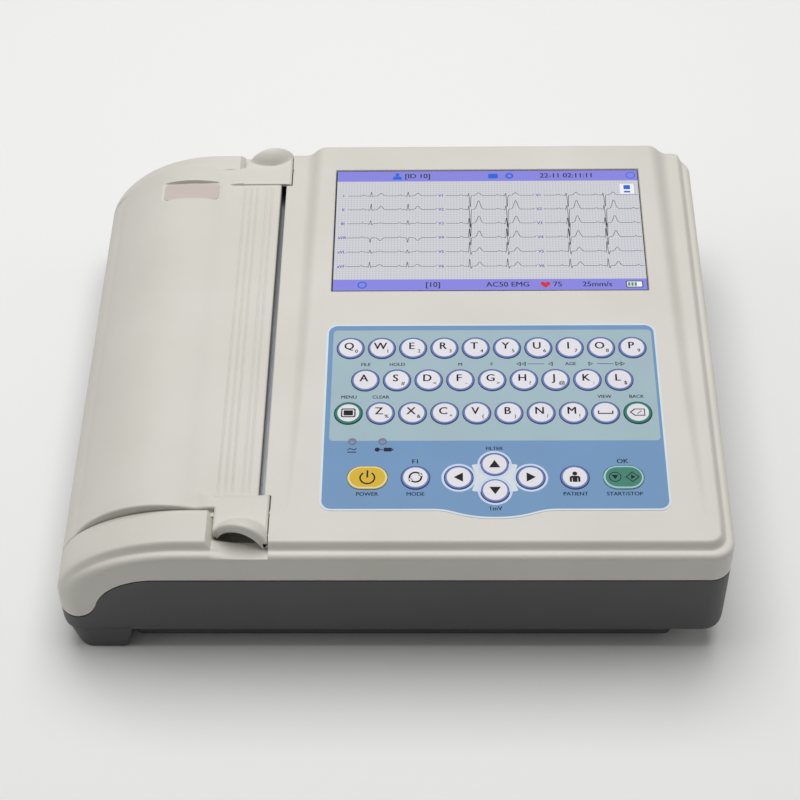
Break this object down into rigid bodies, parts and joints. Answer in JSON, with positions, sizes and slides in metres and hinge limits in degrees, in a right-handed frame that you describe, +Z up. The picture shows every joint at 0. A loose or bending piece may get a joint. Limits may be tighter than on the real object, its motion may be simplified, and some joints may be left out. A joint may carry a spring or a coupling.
{
  "type": "ecg machine",
  "caption": "Table-top ECG recorder: two-tone case, hinged curved paper lid with lift tabs, thermal printer, raised console with display, membrane keyboard and rear mains inlet.",
  "frame": {"origin": "on the table under the middle of the case", "axes": "+X to the right of the person using it, +Y towards the back of the machine, +Z up"},
  "size_m": [0.308, 0.26, 0.0832],
  "materials": {
    "shell_plastic": "warm off-white moulded ABS with a fine texture",
    "base_plastic": "dark grey moulded ABS with a fine texture",
    "steel_rod": "ground",
    "tray_plastic": "black moulded",
    "recording_paper": "coated thermal paper",
    "nylon": "natural nylon",
    "platen_rubber": "ground black rubber",
    "plated_steel": "zinc plated",
    "anodised_aluminium": "anodised",
    "display_glass": "clear acrylic window over a lit display",
    "overlay_film": "printed polyester film, blue with a pale panel",
    "key_white": "white embossed key with a blue ring",
    "key_yellow": "yellow embossed key",
    "key_green": "green embossed key",
    "circuit_board": "glass-epoxy board with solder resist",
    "battery_wrap": "shrink wrap",
    "connector_plastic": "black moulded"
  },
  "bodies": {
    "machine": {"upper_housing": "shell_plastic", "lower_housing": "base_plastic", "lid_hinge_rod": "steel_rod", "paper_tray": "tray_plastic", "drive_motor": "plated_steel", "print_head": "anodised_aluminium", "display_module": "plated_steel", "display_window": "display_glass", "keypad_overlay": "overlay_film", "main_board": "circuit_board", "power_supply": "circuit_board", "battery_pack": "battery_wrap", "battery_door": "base_plastic", "mains_inlet": "connector_plastic", "patient_connector": "plated_steel"},
    "lid": {"printer_lid": "shell_plastic"},
    "platen": {"platen_roller": "platen_rubber", "platen_gear": "nylon"},
    "idler": {"idler_gear": "nylon"},
    "pinion": {"motor_pinion": "nylon"},
    "paper": {"paper_roll": "recording_paper", "paper_spindle": "nylon"},
    "rocker": {"mains_switch": "connector_plastic"},
    "key_q_cap": {"key_q": "key_white"},
    "key_w_cap": {"key_w": "key_white"},
    "key_e_cap": {"key_e": "key_white"},
    "key_r_cap": {"key_r": "key_white"},
    "key_t_cap": {"key_t": "key_white"},
    "key_y_cap": {"key_y": "key_white"},
    "key_u_cap": {"key_u": "key_white"},
    "key_i_cap": {"key_i": "key_white"},
    "key_o_cap": {"key_o": "key_white"},
    "key_p_cap": {"key_p": "key_white"},
    "key_a_cap": {"key_a": "key_white"},
    "key_s_cap": {"key_s": "key_white"},
    "key_d_cap": {"key_d": "key_white"},
    "key_f_cap": {"key_f": "key_white"},
    "key_g_cap": {"key_g": "key_white"},
    "key_h_cap": {"key_h": "key_white"},
    "key_j_cap": {"key_j": "key_white"},
    "key_k_cap": {"key_k": "key_white"},
    "key_l_cap": {"key_l": "key_white"},
    "key_menu_cap": {"key_menu": "key_white"},
    "key_z_cap": {"key_z": "key_white"},
    "key_x_cap": {"key_x": "key_white"},
    "key_c_cap": {"key_c": "key_white"},
    "key_v_cap": {"key_v": "key_white"},
    "key_b_cap": {"key_b": "key_white"},
    "key_n_cap": {"key_n": "key_white"},
    "key_m_cap": {"key_m": "key_white"},
    "key_space_cap": {"key_space": "key_white"},
    "key_backspace_cap": {"key_backspace": "key_white"},
    "key_power_cap": {"key_power": "key_yellow"},
    "key_mode_cap": {"key_mode": "key_white"},
    "key_left_cap": {"key_left": "key_white"},
    "key_up_cap": {"key_up": "key_white"},
    "key_down_cap": {"key_down": "key_white"},
    "key_right_cap": {"key_right": "key_white"},
    "key_patient_cap": {"key_patient": "key_white"},
    "key_start_stop_cap": {"key_start_stop": "key_green"}
  },
  "joints": [
    {"name": "lid_hinge", "type": "hinge", "parent": "machine", "child": "lid", "pos_m": [-0.147, 0, 0.0335], "axis": [0, -1, 0], "range_deg": [0, 80]},
    {"name": "platen_spin", "type": "hinge", "parent": "lid", "child": "platen", "pos_m": [-0.0675, 0, 0.063], "axis": [0, 1, 0], "continuous": true},
    {"name": "idler_spin", "type": "hinge", "parent": "machine", "child": "idler", "pos_m": [-0.05295, 0, 0.0546], "axis": [0, 1, 0], "continuous": true},
    {"name": "pinion_spin", "type": "hinge", "parent": "machine", "child": "pinion", "pos_m": [-0.03855, 0, 0.0546], "axis": [0, 1, 0], "continuous": true},
    {"name": "paper_spin", "type": "hinge", "parent": "machine", "child": "paper", "pos_m": [-0.108, 0, 0.043], "axis": [0, 1, 0], "continuous": true},
    {"name": "mains_rocker", "type": "hinge", "parent": "machine", "child": "rocker", "pos_m": [0.076, 0.122, 0.034], "axis": [-1, 0, 0], "range_deg": [0, 14]},
    {"name": "key_q_press", "type": "slide", "parent": "machine", "child": "key_q_cap", "axis": [0, 0.0241, -0.9997], "range_m": [0, 0.0006], "stiffness_N_per_m": 400, "springref_m": -0.0005},
    {"name": "key_w_press", "type": "slide", "parent": "machine", "child": "key_w_cap", "axis": [0, 0.0241, -0.9997], "range_m": [0, 0.0006], "stiffness_N_per_m": 400, "springref_m": -0.0005},
    {"name": "key_e_press", "type": "slide", "parent": "machine", "child": "key_e_cap", "axis": [0, 0.0241, -0.9997], "range_m": [0, 0.0006], "stiffness_N_per_m": 400, "springref_m": -0.0005},
    {"name": "key_r_press", "type": "slide", "parent": "machine", "child": "key_r_cap", "axis": [0, 0.0241, -0.9997], "range_m": [0, 0.0006], "stiffness_N_per_m": 400, "springref_m": -0.0005},
    {"name": "key_t_press", "type": "slide", "parent": "machine", "child": "key_t_cap", "axis": [0, 0.0241, -0.9997], "range_m": [0, 0.0006], "stiffness_N_per_m": 400, "springref_m": -0.0005},
    {"name": "key_y_press", "type": "slide", "parent": "machine", "child": "key_y_cap", "axis": [0, 0.0241, -0.9997], "range_m": [0, 0.0006], "stiffness_N_per_m": 400, "springref_m": -0.0005},
    {"name": "key_u_press", "type": "slide", "parent": "machine", "child": "key_u_cap", "axis": [0, 0.0241, -0.9997], "range_m": [0, 0.0006], "stiffness_N_per_m": 400, "springref_m": -0.0005},
    {"name": "key_i_press", "type": "slide", "parent": "machine", "child": "key_i_cap", "axis": [0, 0.0241, -0.9997], "range_m": [0, 0.0006], "stiffness_N_per_m": 400, "springref_m": -0.0005},
    {"name": "key_o_press", "type": "slide", "parent": "machine", "child": "key_o_cap", "axis": [0, 0.0241, -0.9997], "range_m": [0, 0.0006], "stiffness_N_per_m": 400, "springref_m": -0.0005},
    {"name": "key_p_press", "type": "slide", "parent": "machine", "child": "key_p_cap", "axis": [0, 0.0241, -0.9997], "range_m": [0, 0.0006], "stiffness_N_per_m": 400, "springref_m": -0.0005},
    {"name": "key_a_press", "type": "slide", "parent": "machine", "child": "key_a_cap", "axis": [0, 0.0241, -0.9997], "range_m": [0, 0.0006], "stiffness_N_per_m": 400, "springref_m": -0.0005},
    {"name": "key_s_press", "type": "slide", "parent": "machine", "child": "key_s_cap", "axis": [0, 0.0241, -0.9997], "range_m": [0, 0.0006], "stiffness_N_per_m": 400, "springref_m": -0.0005},
    {"name": "key_d_press", "type": "slide", "parent": "machine", "child": "key_d_cap", "axis": [0, 0.0241, -0.9997], "range_m": [0, 0.0006], "stiffness_N_per_m": 400, "springref_m": -0.0005},
    {"name": "key_f_press", "type": "slide", "parent": "machine", "child": "key_f_cap", "axis": [0, 0.0241, -0.9997], "range_m": [0, 0.0006], "stiffness_N_per_m": 400, "springref_m": -0.0005},
    {"name": "key_g_press", "type": "slide", "parent": "machine", "child": "key_g_cap", "axis": [0, 0.0241, -0.9997], "range_m": [0, 0.0006], "stiffness_N_per_m": 400, "springref_m": -0.0005},
    {"name": "key_h_press", "type": "slide", "parent": "machine", "child": "key_h_cap", "axis": [0, 0.0241, -0.9997], "range_m": [0, 0.0006], "stiffness_N_per_m": 400, "springref_m": -0.0005},
    {"name": "key_j_press", "type": "slide", "parent": "machine", "child": "key_j_cap", "axis": [0, 0.0241, -0.9997], "range_m": [0, 0.0006], "stiffness_N_per_m": 400, "springref_m": -0.0005},
    {"name": "key_k_press", "type": "slide", "parent": "machine", "child": "key_k_cap", "axis": [0, 0.0241, -0.9997], "range_m": [0, 0.0006], "stiffness_N_per_m": 400, "springref_m": -0.0005},
    {"name": "key_l_press", "type": "slide", "parent": "machine", "child": "key_l_cap", "axis": [0, 0.0241, -0.9997], "range_m": [0, 0.0006], "stiffness_N_per_m": 400, "springref_m": -0.0005},
    {"name": "key_menu_press", "type": "slide", "parent": "machine", "child": "key_menu_cap", "axis": [0, 0.0241, -0.9997], "range_m": [0, 0.0006], "stiffness_N_per_m": 400, "springref_m": -0.0005},
    {"name": "key_z_press", "type": "slide", "parent": "machine", "child": "key_z_cap", "axis": [0, 0.0241, -0.9997], "range_m": [0, 0.0006], "stiffness_N_per_m": 400, "springref_m": -0.0005},
    {"name": "key_x_press", "type": "slide", "parent": "machine", "child": "key_x_cap", "axis": [0, 0.0241, -0.9997], "range_m": [0, 0.0006], "stiffness_N_per_m": 400, "springref_m": -0.0005},
    {"name": "key_c_press", "type": "slide", "parent": "machine", "child": "key_c_cap", "axis": [0, 0.0241, -0.9997], "range_m": [0, 0.0006], "stiffness_N_per_m": 400, "springref_m": -0.0005},
    {"name": "key_v_press", "type": "slide", "parent": "machine", "child": "key_v_cap", "axis": [0, 0.0241, -0.9997], "range_m": [0, 0.0006], "stiffness_N_per_m": 400, "springref_m": -0.0005},
    {"name": "key_b_press", "type": "slide", "parent": "machine", "child": "key_b_cap", "axis": [0, 0.0241, -0.9997], "range_m": [0, 0.0006], "stiffness_N_per_m": 400, "springref_m": -0.0005},
    {"name": "key_n_press", "type": "slide", "parent": "machine", "child": "key_n_cap", "axis": [0, 0.0241, -0.9997], "range_m": [0, 0.0006], "stiffness_N_per_m": 400, "springref_m": -0.0005},
    {"name": "key_m_press", "type": "slide", "parent": "machine", "child": "key_m_cap", "axis": [0, 0.0241, -0.9997], "range_m": [0, 0.0006], "stiffness_N_per_m": 400, "springref_m": -0.0005},
    {"name": "key_space_press", "type": "slide", "parent": "machine", "child": "key_space_cap", "axis": [0, 0.0241, -0.9997], "range_m": [0, 0.0006], "stiffness_N_per_m": 400, "springref_m": -0.0005},
    {"name": "key_backspace_press", "type": "slide", "parent": "machine", "child": "key_backspace_cap", "axis": [0, 0.0241, -0.9997], "range_m": [0, 0.0006], "stiffness_N_per_m": 400, "springref_m": -0.0005},
    {"name": "key_power_press", "type": "slide", "parent": "machine", "child": "key_power_cap", "axis": [0, 0.0241, -0.9997], "range_m": [0, 0.0006], "stiffness_N_per_m": 400, "springref_m": -0.0005},
    {"name": "key_mode_press", "type": "slide", "parent": "machine", "child": "key_mode_cap", "axis": [0, 0.0241, -0.9997], "range_m": [0, 0.0006], "stiffness_N_per_m": 400, "springref_m": -0.0005},
    {"name": "key_left_press", "type": "slide", "parent": "machine", "child": "key_left_cap", "axis": [0, 0.0241, -0.9997], "range_m": [0, 0.0006], "stiffness_N_per_m": 400, "springref_m": -0.0005},
    {"name": "key_up_press", "type": "slide", "parent": "machine", "child": "key_up_cap", "axis": [0, 0.0241, -0.9997], "range_m": [0, 0.0006], "stiffness_N_per_m": 400, "springref_m": -0.0005},
    {"name": "key_down_press", "type": "slide", "parent": "machine", "child": "key_down_cap", "axis": [0, 0.0241, -0.9997], "range_m": [0, 0.0006], "stiffness_N_per_m": 400, "springref_m": -0.0005},
    {"name": "key_right_press", "type": "slide", "parent": "machine", "child": "key_right_cap", "axis": [0, 0.0241, -0.9997], "range_m": [0, 0.0006], "stiffness_N_per_m": 400, "springref_m": -0.0005},
    {"name": "key_patient_press", "type": "slide", "parent": "machine", "child": "key_patient_cap", "axis": [0, 0.0241, -0.9997], "range_m": [0, 0.0006], "stiffness_N_per_m": 400, "springref_m": -0.0005},
    {"name": "key_start_stop_press", "type": "slide", "parent": "machine", "child": "key_start_stop_cap", "axis": [0, 0.0241, -0.9997], "range_m": [0, 0.0006], "stiffness_N_per_m": 400, "springref_m": -0.0005}
  ],
  "couplings": [
    {"joint": "idler_spin", "follows": "platen_spin", "ratio": -0.75},
    {"joint": "pinion_spin", "follows": "platen_spin", "ratio": 1.5}
  ]
}
